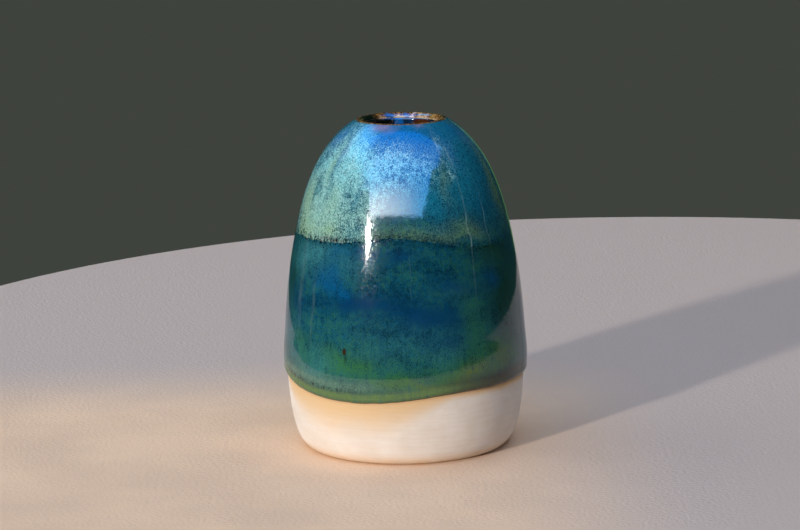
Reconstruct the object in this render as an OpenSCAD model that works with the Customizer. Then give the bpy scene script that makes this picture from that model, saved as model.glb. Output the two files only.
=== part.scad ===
// Ceramic bud vase: one thrown stoneware body, egg-shaped with a small mouth, and its four fired
// glaze coats. Each coat lies face to face on what it was fired onto.
// Origin: centre of the foot, on the table. +Z is the throwing axis, -Y is the front.
// Angles round the vase are measured from the front towards +X.

/* [Overall size] */

// Finished height, from the table to the crest of the lip
vase_h = 100; // [75:0.5:150]
// Diameter of the bare clay at its widest
belly_d = 72.3; // [55:0.1:110]
// Height of the widest part above the table
belly_z = 32; // [22:0.5:50]
// Diameter of the circle where the rounded foot meets the table
foot_d = 57.6; // [40:0.1:90]
// Clear diameter of the finished mouth
mouth_d = 22.6; // [14:0.1:36]

/* [Clay body] */

// Wall thickness at the belly
wall_t = 3.8; // [2.5:0.1:7]
// Thickness of the floor
floor_t = 5.5; // [3.5:0.1:10]
// Diameter of the flat part of the floor inside
floor_d = 42; // [20:0.5:60]
// Thickness of the clay lip, which is rounded over
lip_t = 2.5; // [1.6:0.1:4]
// Length of the straight throat below the lip
throat_len = 4.5; // [2:0.1:9]
// Diameter of the shallow hollow trimmed into the underside
hollow_d = 43; // [20:0.5:56]
// Depth of that hollow
hollow_depth = 0.8; // [0.3:0.1:2]
// Width of the sloping edge of that hollow
hollow_edge = 1.6; // [0.5:0.1:4]

/* [Outline] */

// Downward slope of the shoulder where it leaves the lip, in degrees
shoulder_slope = 28; // [18:1:45]
// Fullness of the shoulder, as a length along that slope
shoulder_full = 23.5; // [15:0.5:32]
// Length of near-upright wall above and below the widest part
belly_hold = 5; // [2:0.5:12]
// Roundness of the foot, as a share of how far the belly overhangs it
foot_round = 1.075; // [0.3:0.005:1.3]
// Slope of the inside where it leaves the throat, in degrees
inside_slope = 30; // [18:1:50]
// Fullness of the inside below the throat, as a length along that slope
inside_full = 20.5; // [12:0.5:30]
// Length of near-upright wall above the widest part inside
inside_hold = 5; // [2:0.5:12]
// Roundness of the inside corner, up the wall
corner_up = 11; // [5:0.5:18]
// Roundness of the inside corner, along the floor
corner_out = 8; // [4:0.5:14]

/* [Glaze coats] */

// Thickness of the base glaze over most of the outside
base_t = 0.6; // [0.3:0.05:1.2]
// Thickness of the base glaze where it has run and gathered at its lower edge
roll_t = 1.05; // [0.5:0.05:1.8]
// Thickness of the second dip over the shoulder
dip_t = 0.25; // [0.1:0.05:0.6]
// Thickness of the glaze on the lip and in the throat
rim_t = 0.35; // [0.15:0.05:0.8]
// Thickness of the glaze lining the inside
liner_t = 0.3; // [0.15:0.05:0.8]
// Share of the lip's glaze thickness that is base glaze where the coats meet it
rim_share = 0.6; // [0.3:0.05:0.8]
// Height above the glaze line at which the gathered roll starts to thin
roll_hold = 4.7; // [3:0.1:10]
// Height above the glaze line at which it has thinned to the base glaze
roll_end = 15; // [8:0.5:30]
// Depth below the lip over which both outside coats thin towards it
rim_fade = 15; // [6:0.5:30]

/* [Glaze line] */

// Mean height of the lower edge of the base glaze
line_z = 22.3; // [14:0.1:45]
// Rise and fall of that edge once round the vase, and the angle of its high side
line_tilt = 1.15; // [0:0.05:3]
// Angle of the high side of the once-round swing
line_tilt_at = -168; // [-180:1:180]
// Rise and fall of that edge twice round the vase
line_sway = 1.05; // [0:0.05:2]
// Angle of a high point of the twice-round swing
line_sway_at = 60; // [-90:1:90]
// Rise and fall of that edge three times round the vase
line_ripple = 0.6; // [0:0.05:1.5]
// Angle of a high point of the three-times-round swing
line_ripple_at = 30; // [-60:1:60]

/* [Overlap line] */

// Mean height of the lower edge of the second dip
dip_z = 66.1; // [40:0.1:85]
// Rise and fall of that edge once round the vase
dip_tilt = 1.1; // [0:0.05:3]
// Angle of the high side of the once-round swing
dip_tilt_at = -46; // [-180:1:180]
// Rise and fall of that edge twice round the vase
dip_sway = 0.8; // [0:0.05:2]
// Angle of a high point of the twice-round swing
dip_sway_at = -14; // [-90:1:90]
// Rise and fall of that edge three times round the vase
dip_ripple = 0.85; // [0:0.05:1.5]
// Angle of a high point of the three-times-round swing
dip_ripple_at = -4; // [-60:1:60]

/* [Hidden] */

$fn = 96;

lip_r = lip_t / 2;
throat_r = mouth_d / 2 + rim_t;
lip_mid = [throat_r + lip_r, vase_h - rim_t - lip_r];
shoulder_end = lip_mid + lip_r * [sin(shoulder_slope), cos(shoulder_slope)];
throat_end = [throat_r, lip_mid[1] - throat_len];
belly_r = belly_d / 2;
inner_r = belly_r - wall_t;
line_reach = line_tilt + line_sway + line_ripple;
dip_reach = dip_tilt + dip_sway + dip_ripple;

foot_steps = 12;
shoulder_steps = 22;
inside_steps = 16;
corner_steps = 8;
lip_step = 10;
edge_steps = 20;

// How far the cutting blocks reach past the vase, and how much coat is made below an edge to be cut
clear = 5;
edge_spare = 3;
// Radii just inside the coats at their edges, where the front and back cutting blocks meet
line_inside_r = belly_r - 1;
dip_inside_r = belly_r - 5;

// One point of a cubic curve, and the direction in which it runs there
function curve_at(c, t) =
    pow(1 - t, 3) * c[0] + 3 * pow(1 - t, 2) * t * c[1] + 3 * (1 - t) * t * t * c[2] + pow(t, 3) * c[3];
function curve_run(c, t) =
    pow(1 - t, 2) * (c[1] - c[0]) + 2 * (1 - t) * t * (c[2] - c[1]) + t * t * (c[3] - c[2]);
function turn_right(v) = [v[1], -v[0]] / norm(v);

// The outside of the clay, in two curves that meet at the belly
foot_curve = [
    [foot_d / 2, 0],
    [foot_d / 2 + foot_round * (belly_d - foot_d) / 2, 0],
    [belly_r, belly_z - belly_hold],
    [belly_r, belly_z]
];
shoulder_curve = [
    [belly_r, belly_z],
    [belly_r, belly_z + belly_hold],
    shoulder_end + shoulder_full * [cos(shoulder_slope), -sin(shoulder_slope)],
    shoulder_end
];

// The inside of the clay, from the throat down to the flat of the floor
inside_curve = [
    throat_end,
    throat_end + inside_full * [cos(inside_slope), -sin(inside_slope)],
    [inner_r, belly_z + inside_hold],
    [inner_r, belly_z]
];
corner_curve = [
    [inner_r, belly_z],
    [inner_r, belly_z - corner_up],
    [floor_d / 2 + corner_out, floor_t],
    [floor_d / 2, floor_t]
];

// Stations up the outside run from 0 at the foot, through 1 at the belly, to 2 at the lip
outside_stations = concat(
    [for (i = [0 : foot_steps - 1]) i / foot_steps],
    [for (i = [0 : shoulder_steps]) 1 + i / shoulder_steps]
);
function outside_at(s) = s < 1 ? curve_at(foot_curve, s) : curve_at(shoulder_curve, s - 1);
function outside_normal(s) =
    turn_right(s < 1 ? curve_run(foot_curve, s) : curve_run(shoulder_curve, s - 1));

// Stations down the inside run from 0 at the throat, through 1 at the belly, to 2 at the floor
inside_stations = concat(
    [for (i = [1 : inside_steps]) i / inside_steps],
    [for (i = [1 : corner_steps]) 1 + i / corner_steps]
);
function inside_at(s) = s < 1 ? curve_at(inside_curve, s) : curve_at(corner_curve, s - 1);
function inside_normal(s) =
    turn_right(s < 1 ? curve_run(inside_curve, s) : curve_run(corner_curve, s - 1));

// Smooth change from one value to another between two heights
function ease(t) = t * t * (3 - 2 * t);
function change(from, to, low, high, z) =
    from + (to - from) * ease(min(1, max(0, (z - low) / (high - low))));

// Glaze thicknesses at a height on the clay
function toward_rim(t, at_rim, z) = change(t, at_rim, shoulder_end[1] - rim_fade, shoulder_end[1], z);
function base_at(z) =
    z < belly_z + rim_fade
        ? change(roll_t, base_t, line_z + roll_hold, line_z + roll_end, z)
        : toward_rim(base_t, rim_t * rim_share, z);
function dip_at(z) = toward_rim(dip_t, rim_t * (1 - rim_share), z);
function liner_at(z) = change(liner_t, rim_t, throat_end[1] - rim_fade, throat_end[1], z);

// Edge of a coat, by angle round the vase
function swing(size, times, at, a) = size * cos(times * (a - at));
function line_at(a) =
    line_z + swing(line_tilt, 1, line_tilt_at, a) + swing(line_sway, 2, line_sway_at, a)
    + swing(line_ripple, 3, line_ripple_at, a);
function overlap_at(a) =
    dip_z + swing(dip_tilt, 1, dip_tilt_at, a) + swing(dip_sway, 2, dip_sway_at, a)
    + swing(dip_ripple, 3, dip_ripple_at, a);

// Faces of the coats, as points from the lowest station upwards
function clay_face(low) =
    [for (s = outside_stations) if (outside_at(s)[1] > low) outside_at(s)];
function base_face(low) =
    [for (s = outside_stations) let (p = outside_at(s)) if (p[1] > low)
        p + base_at(p[1]) * outside_normal(s)];
function dip_face(low) =
    [for (s = outside_stations) let (p = outside_at(s)) if (p[1] > low)
        p + (base_at(p[1]) + dip_at(p[1])) * outside_normal(s)];
function lip_arc(r) = concat(
    [lip_mid + r * [sin(shoulder_slope), cos(shoulder_slope)]],
    [for (a = [80 : lip_step : 170]) if (a > 90 - shoulder_slope + lip_step / 2)
        lip_mid + r * [cos(a), sin(a)]],
    [lip_mid - [r, 0]]
);
function inside_face() = concat([throat_end], [for (s = inside_stations) inside_at(s)]);
function liner_face() = concat(
    [throat_end - rim_t * [1, tan(45 - inside_slope / 2)]],
    [for (s = inside_stations) let (p = inside_at(s)) p + liner_at(p[1]) * inside_normal(s)]
);

function backwards(list) = [for (i = [len(list) - 1 : -1 : 0]) list[i]];

// Everything below a wavy edge: a front and a back block with the wave along their tops.
// The angle runs from the left, by the front or by the back, to the right.
module below_edge(edge, r) {
    reach = belly_r + clear;
    for (back = [0, 1]) {
        angles = [for (i = [0 : edge_steps]) -90 + 180 * i / edge_steps];
        tops = [for (a = angles) edge(back == 1 ? 180 - a : a)];
        mirror([0, back, 0])
            rotate([90, 0, 0])
                linear_extrude(reach)
                    polygon(concat(
                        [[reach, -clear], [-reach, -clear], [-reach, tops[0]]],
                        [for (i = [0 : edge_steps]) [r * sin(angles[i]), tops[i]]],
                        [[reach, tops[edge_steps]]]
                    ));
    }
}

// The thrown and trimmed pot, open at the throat, standing on a flat ring
module clay_body() {
    color([0.86, 0.79, 0.69])
        rotate_extrude()
            polygon(concat(
                [[0, floor_t], [0, hollow_depth], [hollow_d / 2 - hollow_edge, hollow_depth]],
                [[hollow_d / 2, 0]],
                [for (s = outside_stations) if (s < 2) outside_at(s)],
                lip_arc(lip_r),
                inside_face()
            ));
}

// The main outside coat, from the glaze line to the lip, thickest at its rolled lower edge
module base_glaze() {
    low = line_z - line_reach - edge_spare;
    color([0.09, 0.30, 0.33])
        difference() {
            rotate_extrude()
                polygon(concat(clay_face(low), backwards(base_face(low))));
            below_edge(function(a) line_at(a), line_inside_r);
        }
}

// The second dip, lying over the base glaze from the overlap line to the lip
module shoulder_glaze() {
    low = dip_z - dip_reach - edge_spare;
    color([0.22, 0.50, 0.58])
        difference() {
            rotate_extrude()
                polygon(concat(base_face(low), backwards(dip_face(low))));
            below_edge(function(a) overlap_at(a), dip_inside_r);
        }
}

// The thin brown-breaking glaze rolled over the lip
module rim_glaze() {
    color([0.30, 0.21, 0.10])
        rotate_extrude()
            polygon(concat(lip_arc(lip_r), backwards(lip_arc(lip_r + rim_t))));
}

// The glaze lining the throat, the inside wall and the floor
module liner_glaze() {
    color([0.16, 0.26, 0.34])
        rotate_extrude()
            polygon(concat(
                [lip_mid - [lip_r, 0]],
                inside_face(),
                [[0, floor_t], [0, floor_t + liner_t]],
                backwards(liner_face()),
                [lip_mid - [lip_r + rim_t, 0]]
            ));
}

clay_body();
base_glaze();
shoulder_glaze();
rim_glaze();
liner_glaze();
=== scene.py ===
import math

import bmesh
import bpy
import numpy as np
from mathutils import Matrix, Vector, noise


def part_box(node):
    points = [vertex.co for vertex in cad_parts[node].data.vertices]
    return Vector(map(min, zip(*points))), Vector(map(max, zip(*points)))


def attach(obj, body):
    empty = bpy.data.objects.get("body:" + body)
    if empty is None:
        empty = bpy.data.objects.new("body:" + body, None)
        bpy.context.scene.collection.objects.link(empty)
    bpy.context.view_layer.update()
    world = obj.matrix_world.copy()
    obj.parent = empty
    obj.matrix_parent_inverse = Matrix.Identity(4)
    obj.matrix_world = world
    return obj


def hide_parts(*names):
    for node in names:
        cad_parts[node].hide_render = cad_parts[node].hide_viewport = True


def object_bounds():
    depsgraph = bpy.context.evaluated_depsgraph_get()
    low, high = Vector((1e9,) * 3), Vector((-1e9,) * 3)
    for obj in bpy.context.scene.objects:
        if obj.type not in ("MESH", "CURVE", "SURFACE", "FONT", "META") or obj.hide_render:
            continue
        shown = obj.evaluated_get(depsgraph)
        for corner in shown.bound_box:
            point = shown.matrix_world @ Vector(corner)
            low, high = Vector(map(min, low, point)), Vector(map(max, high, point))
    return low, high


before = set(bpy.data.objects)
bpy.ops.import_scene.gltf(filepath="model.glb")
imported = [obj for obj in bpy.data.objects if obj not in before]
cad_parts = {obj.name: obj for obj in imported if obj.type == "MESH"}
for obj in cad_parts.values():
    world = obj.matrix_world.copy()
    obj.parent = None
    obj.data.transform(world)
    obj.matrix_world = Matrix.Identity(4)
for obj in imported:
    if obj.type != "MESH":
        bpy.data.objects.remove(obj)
cadBox = [list(corner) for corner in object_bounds()]
print("frame loaded")


class Wire:
    # one output socket of a material, usable in ordinary arithmetic
    def __init__(self, recipe, socket):
        self.recipe = recipe
        self.socket = socket

    def do(self, operation, *others):
        return self.recipe.math(operation, self, *others)

    def __add__(self, other): return self.do("ADD", other)
    def __sub__(self, other): return self.do("SUBTRACT", other)
    def __mul__(self, other): return self.do("MULTIPLY", other)
    def __truediv__(self, other): return self.do("DIVIDE", other)
    def __pow__(self, other): return self.do("POWER", other)
    def __neg__(self): return self.do("MULTIPLY", -1)
    def __radd__(self, other): return self.do("ADD", other)
    def __rmul__(self, other): return self.do("MULTIPLY", other)
    def __rsub__(self, other): return self.recipe.math("SUBTRACT", other, self)
    def __rtruediv__(self, other): return self.recipe.math("DIVIDE", other, self)

    def clip(self):
        return self.recipe.node("Clamp", {}, {"Value": self})

    def ease(self, low, high):  # 0 below low, 1 above high, smooth between; works with low > high too
        return self.recipe.node("MapRange", {"interpolation_type": "SMOOTHSTEP"},
                                {"Value": self, "From Min": low, "From Max": high})

    def hump(self, middle, width):  # 1 at middle, falling smoothly to 0 at width either side
        return (self - middle).do("ABSOLUTE").ease(width, 0)


class Recipe:
    # the nodes of one material, or of a lamp or the air
    def __init__(self, name="", owner=None):
        self.owner = owner or bpy.data.materials.new(name)
        self.owner.use_nodes = True
        self.tree = self.owner.node_tree
        self.tree.nodes.clear()

    def node(self, kind, settings, sockets, out=0):
        made = self.tree.nodes.new("ShaderNode" + kind)
        for key, value in settings.items():
            setattr(made, key, value)
        for key, value in sockets.items():
            if isinstance(value, Wire):
                self.tree.links.new(value.socket, made.inputs[key])
            elif isinstance(value, (tuple, list)) and made.inputs[key].type == "RGBA":
                made.inputs[key].default_value = (*value, 1)
            else:
                made.inputs[key].default_value = value
        return Wire(self, made.outputs[out]) if len(made.outputs) else None

    def math(self, operation, *values):
        return self.node("Math", {"operation": operation}, dict(enumerate(values)))

    def mix(self, amount, low, high):  # colours; the amount is held between 0 and 1
        return self.node("Mix", {"data_type": "RGBA", "clamp_factor": True},
                         {0: amount, 6: low, 7: high}, out=2)

    def field(self, name):  # a number carried by the mesh
        return self.node("Attribute", {"attribute_name": name}, {}, out=2)

    def place(self):  # x, y, z in millimetres
        spot = self.node("TexCoord", {}, {}, out="Object")
        return [Wire(self, socket) * 1000 for socket in self.parts(spot)]

    def parts(self, spot):
        return self.node("SeparateXYZ", {}, {"Vector": spot}).socket.node.outputs

    def join(self, x, y, z):
        return self.node("CombineXYZ", {}, {0: x, 1: y, 2: z})

    def grain(self, spot, size, detail=2.0, rough=0.5):  # noise with features about size wide
        return self.node("TexNoise", {"noise_dimensions": "3D"},
                         {"Vector": spot, "Scale": 1 / size, "Detail": detail, "Roughness": rough})

    def finish(self, surface, height, depth):  # the shader's own sockets, and a bump that is depth mm deep
        normal = self.node("Bump", {}, {"Height": height, "Distance": depth / 1000, "Strength": 1.0})
        shader = self.node("BsdfPrincipled", {}, {**surface, "Normal": normal})
        self.node("OutputMaterial", {}, {"Surface": shader})
        return self.owner


# the outline of the vase, in millimetres and degrees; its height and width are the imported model's
clayLow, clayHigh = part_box("clay_body")
vase = {
    "height": round(cadBox[1][2] * 1000, 1), "belly": round((clayHigh[0] - clayLow[0]) * 1000, 1),
    "bellyAt": 32.0, "foot": 57.6, "mouth": 22.6, "wall": 3.8, "floor": 5.5, "floorFlat": 42.0,
    "lip": 2.5, "throat": 4.5, "rimCoat": 0.35,
    "hollow": 43.0, "hollowDepth": 0.8, "hollowEdge": 1.6,
    "shoulderSlope": 28, "shoulderFull": 23.5, "bellyHold": 5.0, "footRound": 1.075,
    "insideSlope": 30, "insideFull": 20.5, "insideHold": 5.0, "cornerUp": 11.0, "cornerOut": 8.0,
    "middleRadius": 33, "wideRadius": 36,  # of the wall, for what runs round it
}
lipRadius = vase["lip"] / 2
throatRadius = vase["mouth"] / 2 + vase["rimCoat"]
lipMiddle = np.array([throatRadius + lipRadius, vase["height"] - vase["rimCoat"] - lipRadius])
bellyRadius = vase["belly"] / 2
slope = math.radians(vase["shoulderSlope"])
insideSlope = math.radians(vase["insideSlope"])
shoulderEnd = lipMiddle + lipRadius * np.array([math.sin(slope), math.cos(slope)])
throatEnd = np.array([throatRadius, lipMiddle[1] - vase["throat"]])


def curve(points, steps):  # a cubic curve through the first and last of four points
    t = np.linspace(0, 1, steps)[:, None]
    a, b, c, d = (np.array(p, float) for p in points)
    return (1 - t) ** 3 * a + 3 * (1 - t) ** 2 * t * b + 3 * (1 - t) * t * t * c + t ** 3 * d


def arcRound(middle, radius, start, end, steps):
    turn = np.radians(np.linspace(start, end, steps))[:, None]
    return middle + radius * np.hstack([np.cos(turn), np.sin(turn)])


class Outline:
    # a line in radius and height, walked by its length; out is to its right, away from the clay
    def __init__(self, points):
        steps = np.linalg.norm(np.diff(points, axis=0), axis=1)
        points = points[np.insert(steps > 1e-9, 0, True)]
        self.points = points
        self.walk = np.insert(np.cumsum(np.linalg.norm(np.diff(points, axis=0), axis=1)), 0, 0)
        run = np.gradient(points, self.walk, axis=0)
        run /= np.linalg.norm(run, axis=1)[:, None]
        self.normals = np.stack([run[:, 1], -run[:, 0]], 1)
        self.length = self.walk[-1]

    def at(self, walk, out=0.0):  # radius and height that far along the line, and that far out from it
        r, z = (np.interp(walk, self.walk, self.points[:, i]) for i in (0, 1))
        outR, outZ = (np.interp(walk, self.walk, self.normals[:, i]) for i in (0, 1))
        return r + out * outR, z + out * outZ

    def walkTo(self, height):  # for a line that only rises
        return np.interp(height, self.points[:, 1], self.walk)


footCurve = curve([(vase["foot"] / 2, 0),
                   (vase["foot"] / 2 + vase["footRound"] * (vase["belly"] - vase["foot"]) / 2, 0),
                   (bellyRadius, vase["bellyAt"] - vase["bellyHold"]), (bellyRadius, vase["bellyAt"])], 400)
shoulderCurve = curve([(bellyRadius, vase["bellyAt"]), (bellyRadius, vase["bellyAt"] + vase["bellyHold"]),
                       shoulderEnd + vase["shoulderFull"] * np.array([math.cos(slope), -math.sin(slope)]),
                       shoulderEnd], 900)
outside = Outline(np.vstack([footCurve, shoulderCurve[1:]]))
innerRadius = bellyRadius - vase["wall"]
insideTop = np.array([math.cos(insideSlope), -math.sin(insideSlope)]) * vase["insideFull"]
inside = Outline(np.vstack([
    curve([throatEnd, throatEnd + insideTop, (innerRadius, vase["bellyAt"] + vase["insideHold"]),
           (innerRadius, vase["bellyAt"])], 400),
    curve([(innerRadius, vase["bellyAt"]), (innerRadius, vase["bellyAt"] - vase["cornerUp"]),
           (vase["floorFlat"] / 2 + vase["cornerOut"], vase["floor"]),
           (vase["floorFlat"] / 2, vase["floor"])], 200)[1:]]))


# where the coats end, and how thick they lie; waves are (times round, size, angle of the crest)
coats = {
    "columns": 384, "linerColumns": 224,
    "baseThick": 0.6, "rollThick": 1.05, "dipThick": 0.25, "linerThick": 0.3, "rimShare": 0.6,
    "rollHold": 4.7, "rollEnd": 15.0, "rimFade": 15.0,
    "lineAt": 22.3, "line": [(1, 1.15, -168), (2, 1.05, 60), (3, 0.6, 30), (4, 0.22, 0), (6, 0.14, 22)],
    "dipAt": 66.1, "dip": [(1, 1.1, -46), (2, 0.8, -14), (3, 0.65, -4), (5, 0.62, -1)],
    "lineRagged": 0.14, "dipRagged": 0.55, "dipFrayed": 0.3,  # small wander of both edges
    "dipRamp": 15.0, "dipEdge": 0.012,  # the shoulder coat thins out to its edge over this height
    "edgeRound": 1.7,  # height over which the rolled edge curls back to the clay
    "foldUp": 2.6, "foldWide": 0.8, "foldDeep": 0.10, "foldAt": -30,  # the fold above the rolled edge
    "slowRuns": 0.10,  # share of its thickness by which the base coat swells and thins
    "backSink": 0.25,  # how far the hidden back of the base coat lies in the clay
    "warmAt": 68, "ashAt": -62,  # sides where the rolled edge turns brown, and ashy green
    "ink": [(-62, 0.75, 1.0), (18, 0.8, 0.55), (150, 0.8, 0.7)], "inkLeast": 0.12,  # angle, cut, amount
}


def swing(waves, angle):
    return sum(size * np.cos(times * (angle - math.radians(at))) for times, size, at in waves)


def glazeLine(angle):
    return coats["lineAt"] + swing(coats["line"], angle)


def dipLine(angle):
    return coats["dipAt"] + swing(coats["dip"], angle)


def smooth(x):
    x = np.clip(x, 0, 1)
    return x * x * (3 - 2 * x)


def sideAt(angle, at, sharp, cut):  # 1 on the side that faces this way, 0 away from it
    return smooth(sharp * np.cos(angle - math.radians(at)) - cut)


def change(start, end, low, high, z):
    return start + (end - start) * smooth((z - low) / (high - low))


def baseThickness(z):
    low = change(coats["rollThick"], coats["baseThick"],
                 coats["lineAt"] + coats["rollHold"], coats["lineAt"] + coats["rollEnd"], z)
    high = change(coats["baseThick"], vase["rimCoat"] * coats["rimShare"],
                  shoulderEnd[1] - coats["rimFade"], shoulderEnd[1], z)
    plain = vase["bellyAt"] + coats["rimFade"]  # a height between the two, where both give the plain coat
    return np.where(z < plain, low, high)


def dipThickness(z):
    return change(coats["dipThick"], vase["rimCoat"] * (1 - coats["rimShare"]),
                  shoulderEnd[1] - coats["rimFade"], shoulderEnd[1], z)


def ringPlace(radius, angle):
    return radius * np.sin(angle), -radius * np.cos(angle)


def wander(x, y, z, size, seed):  # smooth noise, about -1 to 1, over whole arrays of points
    flat = np.stack([np.ravel(a) for a in np.broadcast_arrays(x, y, z)], 1) / size + seed
    return np.array([noise.noise(Vector(p)) for p in flat]).reshape(np.broadcast(x, y, z).shape)


def drift(colours, angle, z):
    # soft patches on the wall, each (angle, height, half width, half height, amount), edges wandering
    x, y = ringPlace(vase["middleRadius"], angle)
    sideways = np.radians(9) * wander(x, y, z, 11, 21) + np.radians(3) * wander(x, y, z, 4, 33)
    upward = 3.2 * wander(x, y, z * 1.3, 13, 47) + 1.0 * wander(x, y, z * 1.3, 4, 52)
    fields = {}
    for name, patches in colours.items():
        total = 0 * z
        for at, level, wide, tall, amount in patches:
            off = (angle + sideways - math.radians(at) + math.pi) % (2 * math.pi) - math.pi
            near = (off / math.radians(wide)) ** 2
            total = total + amount * np.exp(-near - ((z + upward - level) / tall) ** 2)
        fields[name] = np.clip(total, 0, 1)
    return fields


def surfaceFrom(name, radius, height, angle, fields, material, node):
    # rows of rings joined into one closed skin; fields are numbers the material reads
    rows, columns = radius.shape
    x, y = ringPlace(radius, angle)
    verts = np.stack([x, y, height], 2).reshape(-1, 3) * 0.001
    ring = np.arange(columns)
    after = (ring + 1) % columns
    faces = np.concatenate([np.stack([i * columns + ring, i * columns + after, (i + 1) * columns + after,
                                      (i + 1) * columns + ring], 1) for i in range(rows - 1)])
    mesh = bpy.data.meshes.new(name)
    mesh.from_pydata(verts.tolist(), [], faces.tolist())
    for key, values in fields.items():
        spread = np.ascontiguousarray(np.broadcast_to(values, radius.shape), dtype=np.float32)
        mesh.attributes.new(key, "FLOAT", "POINT").data.foreach_set("value", spread.ravel())
    work = bmesh.new()
    work.from_mesh(mesh)
    bmesh.ops.remove_doubles(work, verts=work.verts, dist=1e-7)
    bmesh.ops.recalc_face_normals(work, faces=work.faces)
    work.to_mesh(mesh)
    work.free()
    for face in mesh.polygons:
        face.use_smooth = True
    piece = bpy.data.objects.new(name, mesh)
    bpy.context.scene.collection.objects.link(piece)
    mesh.materials.append(material)
    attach(piece, "root")
    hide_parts(node)
    print("made", name, len(mesh.vertices))


def around(count):
    return (np.arange(count) / count * 2 * math.pi - math.pi)[None, :]


def spun(rows, angle):  # the same outline at every angle
    return np.repeat(rows[:, :1], angle.size, 1), np.repeat(rows[:, 1:], angle.size, 1)


clay = {
    # flash is the clay's orange firing blush, and also the colour of the painted bounce light low on the foot
    "cream": (0.78, 0.71, 0.625), "pale": (0.84, 0.785, 0.72), "flash": (0.73, 0.47, 0.20),
    "toast": (0.56, 0.33, 0.16), "speck": (0.42, 0.30, 0.19),
    "ringDepth": 0.022, "ringsFrom": 1.5, "columns": 288, "rows": 300,
    # orange blush under the glaze: the sides where it reaches far down, and how far in mm
    "flashAt": -32, "flashBehind": 160, "flashDeep": 13.5, "flashShallow": 2.6,
}


def clayFinish():
    mat = Recipe("bareStoneware")
    x, y, z = mat.place()
    spot = mat.join(x, y, z)
    below = mat.field("belowLine")
    reach = mat.field("flashReach")
    cloud = mat.grain(spot, 8, 3)
    sand = mat.grain(spot, 0.30, 2, 0.7)
    turned = mat.grain(mat.join(x * 0.06, y * 0.06, z), 0.7, 3, 0.6)  # fine lines left by the wheel
    flash = (1 - below / reach + (cloud - 0.5) * 0.45).ease(0.0, 0.95)
    colour = mat.mix(cloud.ease(0.3, 0.7), clay["cream"], clay["pale"])
    colour = mat.mix(flash * 0.85, colour, clay["flash"])
    colour = mat.mix(below.ease(0.9, 0.1) * 0.55, colour, clay["toast"])
    # painted warm bounce light: orange low on the foot, where the table's light would tint it
    colour = mat.mix(z.ease(4.0, 0.5) * (0.15 + 0.6 * cloud), colour, clay["flash"])
    colour = mat.mix(sand.ease(0.62, 0.78) * 0.28, colour, clay["speck"])
    colour = mat.mix(turned.ease(0.58, 0.36) * 0.07, colour, clay["toast"])
    height = sand * 1.1 + turned * 0.8 + mat.grain(spot, 1.1, 2) * 0.5
    return mat.finish({"Base Color": colour, "Roughness": 0.80 - 0.10 * sand, "Specular IOR Level": 0.3},
                      height, 0.04)


def makeClay():
    angle = around(clay["columns"])
    hollow, edge, deep = vase["hollow"] / 2, vase["hollowEdge"], vase["hollowDepth"]
    under = np.array([(0, deep), (hollow - edge - 3, deep), (hollow - edge, deep * 0.98),
                      (hollow - edge / 2, deep * 0.5), (hollow, 0.02), (hollow + 0.5, 0),
                      (vase["foot"] / 2 - 0.5, 0)])
    outer = np.stack(outside.at(np.linspace(0, outside.length, clay["rows"])), 1)
    lip = arcRound(lipMiddle, lipRadius, 90 - vase["shoulderSlope"], 180, 16)[1:]
    within = np.stack(inside.at(np.linspace(0, inside.length, 110)), 1)
    radius, height = spun(np.vstack([under, outer, lip, within, [(0, vase["floor"])]]), angle)
    wall = slice(len(under), len(under) + len(outer))
    level = height[wall]
    rings = np.sin(level * 2.1 + 0.6 * np.sin(level * 0.7)) + 0.6 * np.sin(level * 4.7 + 1.3)
    radius[wall] += clay["ringDepth"] * rings * smooth((level - clay["ringsFrom"]) / 3)
    side = sideAt(angle, clay["flashAt"], 2.2, 1.2) + 0.5 * sideAt(angle, clay["flashBehind"], 2.2, 1.2)
    reach = clay["flashShallow"] + (clay["flashDeep"] - clay["flashShallow"]) * side
    fields = {"belowLine": glazeLine(angle) - height, "flashReach": reach}
    surfaceFrom("clayBody", radius, height, angle, fields, clayFinish(), "clay_body")


glaze = {
    "deep": (0.0010, 0.018, 0.030), "green": (0.016, 0.110, 0.088), "blue": (0.002, 0.080, 0.165),
    "navy": (0.0006, 0.036, 0.122), "royal": (0.0008, 0.080, 0.232), "ink": (0.001, 0.007, 0.010),
    "mist": (0.045, 0.225, 0.270), "pine": (0.012, 0.060, 0.034), "moss": (0.032, 0.150, 0.046),
    "olive": (0.100, 0.150, 0.014), "umber": (0.034, 0.020, 0.010), "rust": (0.046, 0.024, 0.017),
    # the third colour below is the pale of the painted highlights along the runs
    "bead": (0.115, 0.205, 0.060), "ash": (0.100, 0.205, 0.150), "runGlintColour": (0.170, 0.290, 0.290),
    "turquoise": (0.220, 0.520, 0.500), "shallow": (0.200, 0.640, 0.780),
    "foam": (0.480, 0.770, 0.790), "azure": (0.001, 0.150, 0.470),
    "lagoon": (0.003, 0.195, 0.350), "lichen": (0.205, 0.340, 0.095), "crystal": (0.330, 0.200, 0.170),
    "lilac": (0.300, 0.230, 0.420), "cream": (0.720, 0.560, 0.380), "gold": (0.420, 0.250, 0.070),
    "sheen": 1.62,  # how strongly the glass of the glaze mirrors, as an index of refraction
    "gather": 0.6,  # how much the mottling draws together towards the neck
    "shoulderRun": 0.6,  # how much longer it gets there
    "smoothness": 0.035, "crystalSize": 0.28, "crystalHaze": 0.150,
    "ironSpot": (-29.5, 35.2, 0.62, 1.05),  # angle, height, half width, half height
    # painted highlights along the glaze's runs: angle, height of the middle, half length in mm, half width in
    # radians
    "paintedRunHighlights": [(37, 66, 26, 0.014), (51, 70, 18, 0.008), (-61, 54, 22, 0.050), (3, 58, 9, 0.008),
                 (-50, 46, 15, 0.030), (-47, 93.5, 5, 0.060), (-37, 90, 6, 0.035), (30, 94, 4, 0.030),
                 (37, 91, 4, 0.022), (-160, 60, 22, 0.010), (120, 92, 6, 0.050)],
}

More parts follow.
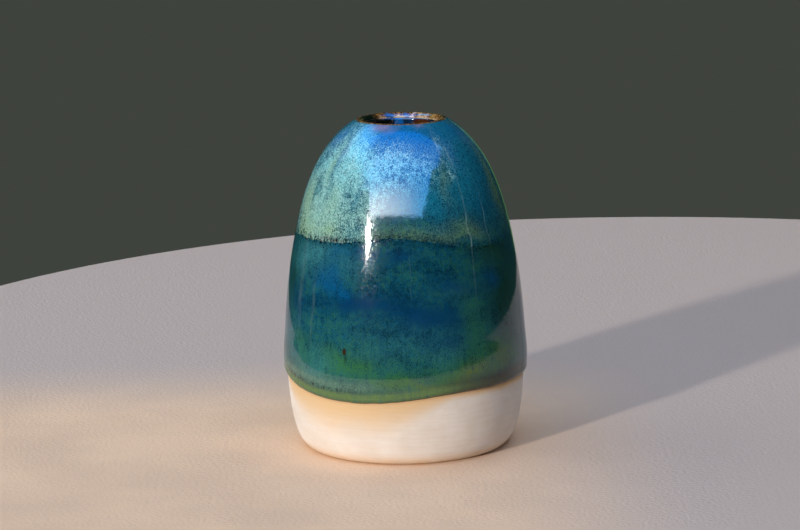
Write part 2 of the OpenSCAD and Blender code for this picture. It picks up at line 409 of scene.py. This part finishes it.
# patches: angle from the front, height, half width in degrees, half height in mm, amount
pools = {
    "navy": [(-17, 49.5, 19, 3.6, 1.0), (12, 44.5, 17, 4.2, 0.95), (26, 54, 15, 2.6, 0.75),
             (-6, 63.5, 14, 2.2, 0.6), (-60, 47, 8, 7, 0.6), (118, 52, 22, 4, 0.95), (165, 45, 16, 4, 0.9),
             (-128, 50, 20, 4.5, 0.95), (-168, 58, 14, 3, 0.7), (84, 60, 10, 3, 0.6),
             (17, 36.5, 13, 2.4, 0.6), (-12, 36, 8, 1.8, 0.35), (-30, 48, 12, 3.0, 0.5)],
    "royal": [(-38, 55.5, 9, 3.2, 1.3), (-29, 53, 4, 2, 0.6), (48, 56, 5, 3.2, 0.7), (140, 57, 8, 3, 0.8),
              (-105, 55, 8, 3, 0.8), (-37, 63, 9, 4, 0.55), (-24, 65, 5, 3, 0.4)],
    "olive": [(35, 27.0, 8, 2.6, 0.9), (48, 31, 5, 3, 0.5), (7, 24.6, 12, 1.5, 0.6), (170, 27, 14, 3, 0.8),
              (-95, 28, 12, 3, 0.7)],
    "milk": [(-56, 62, 14, 5.5, 1.1), (-28, 61, 9, 3.5, 0.5), (-42, 29.5, 22, 4.5, 0.95),
             (-4, 38, 20, 5, 0.25), (24, 52, 10, 3, 0.2), (146, 60, 18, 5, 0.8), (-140, 33, 24, 5, 0.8),
             (105, 34, 16, 4, 0.6), (-66, 38, 10, 7, 0.5), (20, 33, 9, 3, 0.4), (-30, 42, 16, 4, 0.12)],
    "moss": [(-27, 31.5, 14, 4.5, 0.9), (-6, 25, 14, 2.6, 0.9), (24, 28, 13, 3.2, 1.0), (48, 33, 14, 5, 0.6),
             (-60, 36, 8, 5, 0.5), (34, 43, 7, 9, 0.5), (150, 30, 22, 4, 0.9), (-110, 29, 24, 4, 0.8),
             (178, 38, 12, 4, 0.6)],
    "pine": [(60, 50, 17, 15, 0.9), (-72, 52, 10, 12, 0.6), (46, 64, 12, 4, 0.7), (-160, 45, 24, 8, 0.5)],
}
drifts = {
    "pale": [(-62, 83, 19, 13, 1.0), (-42, 87, 14, 9, 1.0), (-48, 74, 18, 7.5, 1.0), (-14, 90, 16, 4, 0.75),
             (8, 91, 20, 2.6, 0.40), (33, 86.5, 3.5, 2.2, 0.6), (34, 95, 4, 2.0, 0.4), (-20, 84, 9, 7, 0.4),
             (-27, 77, 7, 9, 0.62), (6, 88, 22, 3.5, 0.35), (-88, 80, 14, 10, 0.8), (152, 82, 26, 11, 1.0),
             (-150, 89, 18, 7, 0.9), (100, 91, 13, 5, 0.6), (-178, 72, 12, 4, 0.5)],
    # azure near the rim is partly the glaze's colour and partly a painted reflection of blue sky, set all
    # round
    "azure": [(0, 97.5, 34, 3.6, 1.0), (-30, 97.5, 18, 2.6, 0.8), (6, 93.5, 22, 3.6, 0.65),
              (-52, 92, 5, 5, 0.5), (-72, 96, 12, 3, 0.8), (42, 93, 7, 5, 0.4), (70, 96, 18, 3, 0.6),
              (130, 95, 22, 4, 0.9), (-125, 95, 22, 5, 0.9), (178, 97, 20, 4, 0.8)],
    "lagoon": [(44, 84, 30, 13, 1.0), (-63, 80, 4, 4, 1.0), (-52, 86, 3, 7, 0.9), (-36, 80, 3, 5, 0.6),
               (-72, 88, 5, 5, 0.8), (66, 93, 24, 7, 0.9), (16, 80, 10, 6, 0.6), (-28, 79, 5, 5, 0.9),
               (-27, 70, 6, 3, 0.6), (-150, 78, 24, 8, 0.8), (120, 82, 16, 10, 0.8)],
    "lichen": [(-64, 70.5, 12, 4.2, 1.0), (-43, 70.5, 8, 3.2, 1.0), (-72, 79, 8, 6, 0.9),
               (-57, 87, 5, 5, 0.9), (-46, 79, 5, 4, 0.6), (6, 70, 30, 2.4, 0.55),
               (38, 67.8, 12, 2.2, 0.45), (74, 84, 6, 12, 0.7), (26, 84, 4, 6, 0.4),
               (160, 71, 20, 3, 0.9), (-140, 76, 12, 5, 0.8), (110, 73, 14, 4, 0.6)],
    "lilac": [(-21, 98.8, 12, 1.0, 0.8), (24, 98.9, 6, 0.7, 0.6), (140, 98.6, 16, 1.3, 0.8),
              (-110, 98.6, 14, 1.2, 0.6)],
    "crystal": [(-44, 66.5, 9, 1.2, 1.0), (-33, 66.3, 4, 1.0, 0.7), (150, 66.5, 12, 1.4, 0.8)],
}


class Flow:
    # a place in a coat that has run: round the vase, and up it along its surface
    def __init__(self, mat):
        self.mat = mat
        self.x, self.y, self.z = mat.place()
        r = (self.x * self.x + self.y * self.y) ** 0.5
        squeeze = (vase["middleRadius"] / r) ** glaze["gather"]
        self.across, self.along = self.x * squeeze, self.y * squeeze
        self.rise = self.z + glaze["shoulderRun"] * (vase["wideRadius"] - r)
        self.turn = self.x.do("ARCTAN2", -self.y)

    def grain(self, size, stretch, detail=2.0, rough=0.5, shift=0.0):  # noise, longer by stretch up the wall
        spot = self.mat.join(self.across + shift, self.along, self.rise / stretch)
        return self.mat.grain(spot, size, detail, rough)


def glassOver(flow, colour, unevenness):
    # smooth glass, a little wavy, with tiny matt crystals that catch a strong light
    crystals = flow.grain(glaze["crystalSize"], 1.1, 0, shift=31).ease(0.61, 0.66)
    height = unevenness + flow.grain(0.9, 3.5, 2, 0.6, shift=23) * 0.9
    rough = glaze["smoothness"] + crystals * glaze["crystalHaze"]
    return flow.mat.finish({"Base Color": colour, "Roughness": rough, "IOR": glaze["sheen"]}, height, 0.01)


def paintedRunHighlights(flow):
    # painted highlights: thin pale lines where the ridges of the glaze's runs would catch the light
    bend = (flow.grain(9, 1, 1, shift=20) - 0.5) * 0.08
    lines = 0
    for angle, middle, reach, width in glaze["paintedRunHighlights"]:
        near = (flow.turn + bend - math.radians(angle)).hump(0, width)
        lines = near * flow.z.hump(middle, reach) + lines
    return lines


def ironSpot(flow):
    # a speck of iron, and the dark thread that ran down from it
    angle, level, wide, tall = glaze["ironSpot"]
    across = (flow.turn - math.radians(angle)) * (vase["wideRadius"] / wide)
    up = (flow.z - level) / tall
    spot = (across * across + up * up).ease(1.3, 0.5)
    thread = across.hump(0.5, 1.1) * flow.z.hump(level - 2.0, 2.6)
    return spot, thread


def tealGround(flow):
    # the dark blue-green that both coats share, and the mottling that breaks every colour up
    mat = flow.mat
    fine = flow.grain(0.30, 1.5, 2.5, 0.7)
    middle = flow.grain(1.7, 1.1, 3, 0.6, shift=3.0)
    cloud = flow.grain(8, 0.7, 3, 0.55, shift=4.2)
    run = flow.grain(0.8, 9, 2, 0.55)
    hue = flow.grain(0.7, 1.6, 3, 0.7, shift=17)
    mottle = (fine - 0.5) * 4.0 + (middle - 0.5) * 1.0 + (run - 0.5) * 0.8
    greener = (hue - 0.5) * 3.2 + (cloud - 0.5) * 1.8 + (middle - 0.5) * 1.6 + 0.38
    lively = mat.mix(greener, glaze["blue"], glaze["green"])
    livelier = 0.66 + mottle * 0.72 + (cloud - 0.5) * 1.9 + (middle - 0.5) * 0.4
    return mat.mix(livelier, glaze["deep"], lively), mottle, fine, run, middle


def baseGlazeFinish():
    mat = Recipe("tealBaseGlaze")
    flow = Flow(mat)
    above, under = mat.field("aboveLine"), mat.field("belowDip")
    warm, ash = mat.field("warmSide"), mat.field("ashSide")
    colour, mottle, fine, run, middle = tealGround(flow)
    for name, strength, texture in (("pine", 0.9, 0.7), ("navy", 1.0, 0.6), ("royal", 0.85, 1.1)):
        amount = mat.field(name) * (strength + mottle * texture)
        colour = mat.mix(amount.clip() * 0.92, colour, glaze[name])
    milk = mat.field("milk") * 0.56 + flow.z.ease(50, 38) * 0.05
    colour = mat.mix(milk * (1.0 + mottle * 1.1), colour, glaze["mist"])
    moss = mat.field("moss") * 0.8 + flow.z.ease(42, 22) * 0.30
    colour = mat.mix(moss * (0.85 + mottle * 0.9), colour, glaze["moss"])
    olive = mat.field("olive") * (0.85 + mottle * 0.8)
    colour = mat.mix(olive.clip() * 0.85, colour, glaze["olive"])
    # the band above the rolled edge: green at first, ashy on one side, brown on the other
    colour = mat.mix(above.ease(5.0, 1.2) * (0.45 + (run - 0.5) * 1.6) * 0.9, colour, glaze["olive"])
    colour = mat.mix(above.hump(5.0, 2.2) * ash * (0.7 + mottle), colour, glaze["ash"])
    colour = mat.mix(above.ease(6.5, 1.5) * warm * (0.95 + mottle), colour, glaze["umber"])
    bead = above.hump(1.9, 1.7) * (0.75 + mottle * 0.5) * (1 - warm * 0.85)
    colour = mat.mix(bead, colour, glaze["bead"])
    specks = flow.grain(0.75, 0.9, 1, 0.5, shift=9)
    specks = above.hump(3.6, 1.1) * ash * specks.ease(0.52, 0.62)
    colour = mat.mix(specks * 0.85, colour, glaze["ink"])
    colour = mat.mix(above.ease(0.50, 0.12), colour, glaze["rust"])
    # dark where the shoulder coat ends on it, then the iron speck, then painted highlights along the runs
    ragged = flow.grain(0.7, 0.9, 3, 0.75)
    ink = under.ease(2.2, 0.0) * mat.field("inkSide") * ragged.ease(0.44, 0.60)
    colour = mat.mix(ink, colour, glaze["ink"])
    spot, thread = ironSpot(flow)
    colour = mat.mix(thread * 0.55, colour, glaze["ink"])
    colour = mat.mix(spot, colour, glaze["umber"])
    colour = mat.mix(paintedRunHighlights(flow) * (run - 0.22) * 0.55, colour, glaze["runGlintColour"])
    return glassOver(flow, colour, fine * 0.30 + run * 0.8 + middle * 1.0)


def shoulderGlazeFinish():
    mat = Recipe("turquoiseShoulderGlaze")
    flow = Flow(mat)
    rise = flow.rise
    over = mat.field("aboveDip")
    azure, paleField, lagoon = mat.field("azure"), mat.field("pale"), mat.field("lagoon")
    ground, mottle, fine, run, middle = tealGround(flow)
    dots = flow.grain(0.50, 1.3, 1.5, 0.6, shift=7)
    ragged = flow.grain(0.7, 1.4, 3, 0.75)
    colour = mat.mix(lagoon * (0.75 + mottle * 0.8), ground, glaze["lagoon"])
    colour = mat.mix(rise.ease(90, 114) * (0.6 + mottle), colour, glaze["lagoon"])
    broken = mottle + (middle - 0.5) * 1.6
    pale = paleField * (0.86 + broken * 0.55 - lagoon * 0.75) + paleField * (1 - paleField) * broken * 1.8
    pale = pale.clip()
    colour = mat.mix(pale, colour, mat.mix(rise.ease(78, 95), glaze["turquoise"], glaze["shallow"]))
    lichen = mat.field("lichen") * (0.66 + mottle * 0.9)
    colour = mat.mix(lichen.clip() * 0.90, colour, glaze["lichen"])
    # azure: glaze colour, and partly a painted sky reflection round the neck
    colour = mat.mix((azure * (0.95 - mottle * 0.6)).clip() * 0.92, colour, glaze["azure"])
    light = fine.ease(0.48, 0.60) * (0.03 + 0.62 * pale + 0.32 * azure * rise.ease(108, 101))
    colour = mat.mix(light, colour, glaze["foam"])
    dark = dots.ease(0.46, 0.33) * (0.65 + 0.35 * rise.ease(80, 100))
    colour = mat.mix(dark * 0.80, colour, mat.mix(rise.ease(88, 104), glaze["deep"], glaze["navy"]))
    colour = mat.mix(mat.field("lilac") * (0.8 + mottle * 0.6), colour, glaze["lilac"])
    crystals = flow.grain(1.0, 0.9, 2, 0.6, shift=14)
    colour = mat.mix(mat.field("crystal") * crystals.ease(0.48, 0.60) * 0.7, colour, glaze["crystal"])
    # near its edge the coat is too thin to hide the one below
    thin = (over + (ragged - 0.5) * 5).ease(2.4, 0.7)
    colour = mat.mix(thin * (1 - mat.field("inkSide") * 0.9), colour, ground)
    ink = over.hump(0.5, 1.3) * mat.field("inkSide") * ragged.ease(0.46, 0.60)
    colour = mat.mix(ink, colour, glaze["ink"])
    # painted highlights along the runs, in the pale foam colour
    colour = mat.mix(paintedRunHighlights(flow) * (run - 0.2) * 0.7, colour, glaze["foam"])
    return glassOver(flow, colour, fine * 0.30 + dots * 0.3 + run * 0.8 + middle * 1.0)


rim = {
    "columns": 288, "within": 13.0, "backSink": 0.1, "swell": 0.05, "roughness": 0.07,
    "brown": (0.175, 0.072, 0.020), "black": (0.003, 0.005, 0.006), "deepBlue": (0.004, 0.020, 0.060),
    "inside": (0.004, 0.014, 0.024),
    # bands round the inner lip, and round the throat below it: angle, half width, colour, amount. On the far
    # side the near-white bands are painted highlights and the bright blue bands painted sky reflections; the
    # browns, golds and lilacs are glaze colour
    "patches": [(-120, 34, (0.006, 0.012, 0.008), 1.0), (-147, 7, (0.55, 0.40, 0.20), 0.8),
                (-161, 11, (0.035, 0.120, 0.340), 0.9), (-176, 8, (0.66, 0.46, 0.22), 0.9),
                (172, 8, (0.070, 0.160, 0.420), 0.9), (162, 6, (0.62, 0.55, 0.60), 0.9),
                (150, 9, (0.48, 0.33, 0.17), 0.8), (138, 8, (0.34, 0.27, 0.42), 0.8),
                (122, 12, (0.42, 0.27, 0.09), 0.6), (90, 16, (0.30, 0.17, 0.05), 0.6),
                (0, 60, (0.060, 0.030, 0.012), 0.9)],
    "throat": [(-178, 11, (0.006, 0.110, 0.400), 1.0), (148, 20, (0.060, 0.016, 0.005), 0.95),
               (165, 8, (0.004, 0.030, 0.100), 0.8), (-130, 30, (0.002, 0.004, 0.004), 1.0)],
}


def bands(mat, turn, colour, listed, fray):
    # patches round a ring, with frayed edges
    for angle, wide, tint, amount in listed:
        away = (turn - math.radians(angle)).do("ABSOLUTE")
        near = away.do("MINIMUM", 2 * math.pi - away) + fray
        colour = mat.mix(near.ease(math.radians(wide), math.radians(wide) * 0.5) * amount, colour, tint)
    return colour


def rimGlazeFinish():
    mat = Recipe("brownRimGlaze")
    x, y, z = mat.place()
    spot = mat.join(x, y, z)
    r = (x * x + y * y) ** 0.5
    patch = mat.grain(spot, 2.6, 2, 0.5)
    fine = mat.grain(spot, 0.55, 2, 0.6)
    colour = mat.mix(patch.ease(0.40, 0.60), glaze["umber"], rim["brown"])
    colour = mat.mix(fine.ease(0.50, 0.62) * 0.8, colour, glaze["gold"])
    fray = (patch - 0.5) * 0.5 + (z - 98) * 0.06
    # bands round the inner lip: glaze colours, with painted highlights and sky reflections among them on the
    # far side
    patchwork = bands(mat, x.do("ARCTAN2", -y), colour, rim["patches"], fray)
    lower = (98.9 - z + (patch - 0.5) * 4).ease(-0.2, 0.5) * y.ease(2, 6)  # cream low on the far side
    patchwork = mat.mix(lower * x.ease(-8, -5) * 0.75, patchwork, glaze["cream"])
    colour = mat.mix(r.ease(rim["within"], rim["within"] - 0.8), colour, patchwork)
    colour = mat.mix(fine.ease(0.42, 0.30) * 0.6, colour, glaze["ink"])
    return mat.finish({"Base Color": colour, "Roughness": rim["roughness"], "IOR": glaze["sheen"]},
                      fine + patch * 2, 0.02)


def linerGlazeFinish():
    mat = Recipe("darkLinerGlaze")
    x, y, z = mat.place()
    spot = mat.join(x, y, z)
    patch = mat.grain(spot, 3.0, 2, 0.5)
    fine = mat.grain(spot, 0.6, 2, 0.6)
    colour = mat.mix(patch.ease(0.42, 0.62), rim["black"], rim["deepBlue"])
    # bands round the throat, among them a painted sky reflection in bright blue on the far side
    colour = bands(mat, x.do("ARCTAN2", -y), colour, rim["throat"], (patch - 0.5) * 0.4)
    colour = mat.mix(fine.ease(0.60, 0.70) * 0.35, colour, glaze["gold"])
    colour = mat.mix(z.ease(97, 91), colour, rim["inside"])
    return mat.finish({"Base Color": colour, "Roughness": rim["roughness"], "IOR": glaze["sheen"]},
                      fine + patch, 0.02)


def inkSide(angle):  # how dark the overlap shows, round the vase
    dark = sum((amount * sideAt(angle, at, 1.8, cut) for at, cut, amount in coats["ink"]), coats["inkLeast"])
    return np.clip(dark, 0, 1)


def baseSurface(angle, walk):
    # thickness of the base coat at a place on the clay, with slow runs down it and a fold near its foot
    z = outside.at(walk)[1]
    x, y = ringPlace(vase["middleRadius"], angle)
    slow = wander(x, y, z / 9, 7, 3.1)
    fold = np.exp(-((z - glazeLine(angle) - coats["foldUp"]) / coats["foldWide"]) ** 2)
    deeper = 0.6 + 0.4 * np.cos(angle - math.radians(coats["foldAt"]))
    return baseThickness(z) * (1 + coats["slowRuns"] * slow) - coats["foldDeep"] * fold * deeper


def makeBaseGlaze():
    angle = around(coats["columns"])
    x, y = ringPlace(vase["middleRadius"], angle)
    line = glazeLine(angle) + coats["lineRagged"] * wander(x, y, 0 * angle, 3.0, 11)
    start = outside.walkTo(line)
    curl = np.linspace(0, 1, 15)[:, None] ** 1.6 * coats["edgeRound"] + 0 * start
    rest = np.linspace(0, 1, 210)[1:, None]
    climb = np.vstack([curl, coats["edgeRound"] + rest * (outside.length - start - coats["edgeRound"])])
    walk = start + climb
    part = np.sqrt(np.clip(1 - (1 - np.clip(climb / coats["edgeRound"], 0, 1)) ** 2, 0, 1))
    radius, height = outside.at(walk, baseSurface(angle, walk) * part)
    # the hidden back runs from the lip down to just inside the rolled edge; its lip end again closes the skin
    backWalk = np.vstack([np.full_like(start, outside.length - 0.5), start + 6, start + 0.6])
    backRadius, backHeight = outside.at(backWalk, -coats["backSink"])
    radius = np.vstack([backRadius, radius, backRadius[:1]])
    height = np.vstack([backHeight, height, backHeight[:1]])
    fields = {"aboveLine": height - line, "belowDip": dipLine(angle) - height, "inkSide": inkSide(angle),
              "warmSide": sideAt(angle, coats["warmAt"], 2.2, 1.1),
              "ashSide": sideAt(angle, coats["ashAt"], 2.2, 1.1)}
    fields.update(drift(pools, angle, height))
    surfaceFrom("baseGlaze", radius, height, angle, fields, baseGlazeFinish(), "base_glaze")


def makeShoulderGlaze():
    angle = around(coats["columns"])
    x, y = ringPlace(vase["middleRadius"] - 1, angle)
    ragged = dipLine(angle) + coats["dipRagged"] * wander(x, y, 0 * angle, 2.4, 5)
    ragged = ragged + coats["dipFrayed"] * wander(x, y, 0 * angle, 0.9, 8)
    start = outside.walkTo(ragged)
    ramp = coats["dipRamp"]
    edge = np.linspace(0, 1, 30)[:, None] * ramp + 0 * start
    rest = np.linspace(0, 1, 100)[1:, None]
    climb = np.vstack([edge, ramp + rest * (outside.length - start - ramp)])
    walk = start + climb
    full = dipThickness(outside.at(walk)[1])
    thick = coats["dipEdge"] + (full - coats["dipEdge"]) * smooth(climb / ramp)
    radius, height = outside.at(walk, baseSurface(angle, walk) + thick)
    # its edge tucks into the coat below, and its top ends under the rim coat
    tuckRadius, tuckHeight = outside.at(start - 2.5, baseSurface(angle, start - 2.5) - 0.10)
    topRadius, topHeight = outside.at(np.full_like(start, outside.length - 0.4), 0.05)
    radius = np.vstack([topRadius, tuckRadius, radius, topRadius])
    height = np.vstack([topHeight, tuckHeight, height, topHeight])
    fields = {"aboveDip": height - ragged, "inkSide": inkSide(angle)}
    fields.update(drift(drifts, angle, height))
    surfaceFrom("shoulderGlaze", radius, height, angle, fields, shoulderGlazeFinish(),
                "shoulder_glaze")


def makeRimGlaze():
    angle = around(rim["columns"])
    outerEnd = 90 - vase["shoulderSlope"] - 3  # degrees round the lip, just over its outer side
    over = arcRound(lipMiddle, lipRadius + vase["rimCoat"], outerEnd, 180, 22)
    under = arcRound(lipMiddle, lipRadius - rim["backSink"], 180, outerEnd, 8)
    radius, height = spun(np.vstack([over, under, over[:1]]), angle)
    x, y = ringPlace(rim["within"], angle)
    crest = slice(4, 18)  # its rows, which swell and dip a little
    height[crest] += rim["swell"] * wander(x, y, 0 * angle, 4, 2)
    surfaceFrom("rimGlaze", radius, height, angle, {}, rimGlazeFinish(), "rim_glaze")


def makeLinerGlaze():
    angle = around(coats["linerColumns"])
    top = lipMiddle[1] + 0.02
    sink = 0.15  # how far the hidden back lies in the clay
    throat = [(throatRadius - vase["rimCoat"], h) for h in np.linspace(top, throatEnd[1] + 0.4, 8)]
    walk = np.linspace(0.3, inside.length, 120)
    z = inside.at(walk)[1]
    thick = change(coats["linerThick"], vase["rimCoat"], throatEnd[1] - coats["rimFade"], throatEnd[1], z)
    wall = np.stack(inside.at(walk, thick), 1)
    back = np.stack(inside.at(walk[::6], -sink), 1)[::-1]
    bottom = [(0, vase["floor"] + coats["linerThick"]), (0, vase["floor"] - sink)]
    rows = np.vstack([throat, wall, bottom, back, [(throatRadius + sink, top), throat[0]]])
    radius, height = spun(rows, angle)
    surfaceFrom("linerGlaze", radius, height, angle, {}, linerGlazeFinish(),
                "liner_glaze")


makeClay()
makeBaseGlaze()
makeShoulderGlaze()
makeRimGlaze()
makeLinerGlaze()


studio = {
    "tableRadius": 0.29, "tableAt": (0.08, 0.10), "tableSides": 160,
    "tableColour": (0.80, 0.58, 0.40), "tableShade": (0.56, 0.475, 0.425),
    "backdrop": (0.050, 0.056, 0.048), "mirrored": (0.010, 0.030, 0.022), "fill": (0.122, 0.128, 0.135),
    "keyFrom": (-37, 15), "keyPower": 2.45, "keyColour": (1.0, 0.94, 0.875), "keySpread": 3.0,
    "lampsAim": 0.08,  # height that every lamp faces
    "cameraAt": (0.0, -0.900, 0.228), "pitch": 10.89, "roll": 1.10, "turn": 0.0732, "lens": 135.54,
}
window = {
    "white": (8.2, 9.2, 10.4), "low": (1.0, 3.5, 7.0), "middle": (0.1, 1.4, 5.6), "high": (0.0, 0.6, 3.2),
    "left": 0.202, "right": 0.760, "middleAt": 0.47, "soft": 0.004,  # shares of its width
    "lean": 0.085, "step": 0.08,  # how far the right side leans out, and steps out near the top
    "arch": 0.22, "ragged": 0.055, "raggedSize": 0.016,  # its lower edge
}


def direction(azimuth, elevation):  # azimuth from the front, towards +X
    a, e = math.radians(azimuth), math.radians(elevation)
    return Vector((math.sin(a) * math.cos(e), -math.cos(a) * math.cos(e), math.sin(e)))


def makeTable():
    work = bmesh.new()
    edge = [(0.9, 0), (0.985, 0), (0.996, -0.0012), (1.0, -0.005), (1.0, -0.05)]  # share of radius, height
    turns = np.arange(studio["tableSides"]) * (2 * math.pi / studio["tableSides"])
    rings = []
    for share, level in edge:
        far = share * studio["tableRadius"]
        rings.append([work.verts.new((far * math.cos(a), far * math.sin(a), level)) for a in turns])
    work.faces.new(rings[0])
    for low, high in zip(rings, rings[1:]):
        for i in range(len(low)):
            work.faces.new((low[i - 1], high[i - 1], high[i], low[i]))
    mesh = bpy.data.meshes.new("paleTable")
    work.to_mesh(mesh)
    work.free()
    table = bpy.data.objects.new("paleTable", mesh)
    table.location = (*studio["tableAt"], 0)
    bpy.context.scene.collection.objects.link(table)
    mat = Recipe("paleTableTop")
    x, y, z = mat.place()
    spot = mat.join(x, y, z)
    cloud = mat.grain(spot, 40, 3)
    lighter = tuple(c * 1.12 for c in studio["tableColour"])
    colour = mat.mix(cloud.ease(0.3, 0.7), studio["tableColour"], lighter)
    cool = 1 - (1 - x.ease(-70, 10)) * (1 - y.ease(-70, 20))  # right and back lie in open shade
    colour = mat.mix(cool, colour, studio["tableShade"])
    surface = {"Base Color": colour, "Roughness": 0.75, "Specular IOR Level": 0.3}
    mesh.materials.append(mat.finish(surface, mat.grain(spot, 1.2, 3), 0.2))


def softbox(name, azimuth, elevation, distance, width, height, radiance, colour, reaches):
    # a soft lamp that reaches only "gloss", as a reflection, or only "matt" surfaces
    lamp = bpy.data.lights.new(name, "AREA")
    lamp.shape = "RECTANGLE"
    lamp.size, lamp.size_y = width, height
    lamp.energy = radiance * math.pi * width * height
    lamp.color = colour
    box = bpy.data.objects.new(name, lamp)
    box.location = direction(azimuth, elevation) * distance + Vector((0, 0, studio["lampsAim"]))
    box.rotation_euler = direction(azimuth, elevation).to_track_quat("Z", "Y").to_euler()
    box.visible_camera = False
    box.visible_diffuse = reaches == "matt"
    box.visible_glossy = reaches == "gloss"
    bpy.context.scene.collection.objects.link(box)
    return lamp


def paneOf(lamp):
    # the nodes of a soft lamp, and how far across and up its face a point is, 0 to 1
    pane = Recipe(owner=lamp)
    split = pane.parts(pane.node("NewGeometry", {}, {}, out="Parametric"))
    return pane, Wire(pane, split[0]), Wire(pane, split[1])


def glow(pane, colour, strength):
    light = pane.node("Emission", {}, {"Color": colour, "Strength": strength})
    pane.node("OutputLight", {}, {"Surface": light})


def skyInWindow(lamp):
    # white low on the left, blue to the right, deep blue overhead, spreading to the left higher up
    pane, across, up = paneOf(lamp)
    colour = pane.mix(up.ease(0.10, 0.42), window["low"], window["middle"])
    colour = pane.mix(up.ease(0.42, 0.70), colour, window["high"])
    colour = pane.mix(up.ease(0.36, 0.02) * across.ease(0.78, 0.24), colour, window["white"])
    soft = window["soft"]
    high = up.ease(0.25, 0.31)
    left = (across - window["left"]).ease(-soft, soft) * (1 - high) + across.ease(0.0, 0.34) * high
    right = window["right"] + up * window["lean"] + up.ease(0.50, 0.62) * window["step"]
    sill = (across - window["middleAt"]) * (across - window["middleAt"]) * window["arch"]
    rough = pane.grain(pane.join(across, 0, 0), window["raggedSize"], 2, 0.7) - 0.25
    sill = sill + rough * window["ragged"]
    glow(pane, colour, left * (across - right).ease(soft, -soft) * (up - sill).ease(0.0, soft))


def brightTop(lamp, middle, reach):  # brightest and widest at the middle, tapering to both ends
    pane, across, up = paneOf(lamp)
    tall = up.hump(middle, reach)
    glow(pane, (1, 1, 1), tall * across.hump(0.5, 0.5 * tall + 0.02))


def lightStudio():
    key = bpy.data.lights.new("keyLight", "SUN")
    key.energy = studio["keyPower"]
    key.color = studio["keyColour"]
    key.angle = math.radians(studio["keySpread"])
    lamp = bpy.data.objects.new("keyLight", key)
    lamp.rotation_euler = direction(*studio["keyFrom"]).to_track_quat("Z", "Y").to_euler()
    lamp.visible_glossy = False  # the strip and halo below are what the glaze mirrors
    bpy.context.scene.collection.objects.link(lamp)
    azimuth, elevation = studio["keyFrom"]
    strip = softbox("keyStrip", azimuth, elevation, 1.5, 0.07, 0.50, 1500, (1.0, 0.98, 0.95), "gloss")
    brightTop(strip, 0.49, 0.30)
    halo = softbox("keyHalo", azimuth, elevation - 1, 1.55, 0.15, 0.60, 3.5, (1.0, 0.97, 0.92), "gloss")
    brightTop(halo, 0.44, 0.42)
    skyInWindow(softbox("frontWindow", -5, 60.4, 1.4, 3.2, 2.3, 1.18, (1, 1, 1), "gloss"))
    brightTop(softbox("skyLeft", -110, 53, 1.4, 2.2, 1.1, 1.4, (0.5, 2.6, 5.0), "gloss"), 0.5, 0.5)
    softbox("greenEdge", 165, 0, 1.6, 0.22, 0.55, 0.27, (0.40, 0.90, 0.20), "gloss")
    softbox("overheadSoft", 0, 88, 1.3, 1.6, 1.6, 1.1, (0.92, 0.96, 1.0), "matt")
    softbox("leftSoft", -100, 25, 1.3, 1.2, 1.2, 0.8, (1.0, 0.98, 0.95), "matt")
    softbox("backSoft", 165, 40, 1.5, 1.4, 0.7, 0.5, (1.0, 0.97, 0.92), "matt")
    world = bpy.data.worlds.new("studioAir")
    air = Recipe(owner=world)
    seen = air.mix(air.node("LightPath", {}, {}, out="Is Camera Ray"), studio["mirrored"], studio["backdrop"])
    seen = air.mix(air.node("LightPath", {}, {}, out="Is Diffuse Ray"), seen, studio["fill"])
    air.node("OutputWorld", {}, {"Surface": air.node("Background", {}, {"Color": seen, "Strength": 1.0})})
    bpy.context.scene.world = world


def placeCamera():
    lens = bpy.data.cameras.new("camera")
    lens.sensor_width = 36
    lens.lens = studio["lens"]
    lens.clip_start, lens.clip_end = 0.01, 50
    camera = bpy.data.objects.new("camera", lens)
    aim = (Matrix.Rotation(math.radians(studio["turn"]), 4, "Z")
           @ Matrix.Rotation(math.radians(90 - studio["pitch"]), 4, "X")
           @ Matrix.Rotation(math.radians(-studio["roll"]), 4, "Z"))
    camera.matrix_world = Matrix.Translation(studio["cameraAt"]) @ aim
    bpy.context.scene.collection.objects.link(camera)
    bpy.context.scene.camera = camera


makeTable()
lightStudio()
placeCamera()
bpy.context.scene.view_settings.view_transform = "Standard"
print("studio ready")
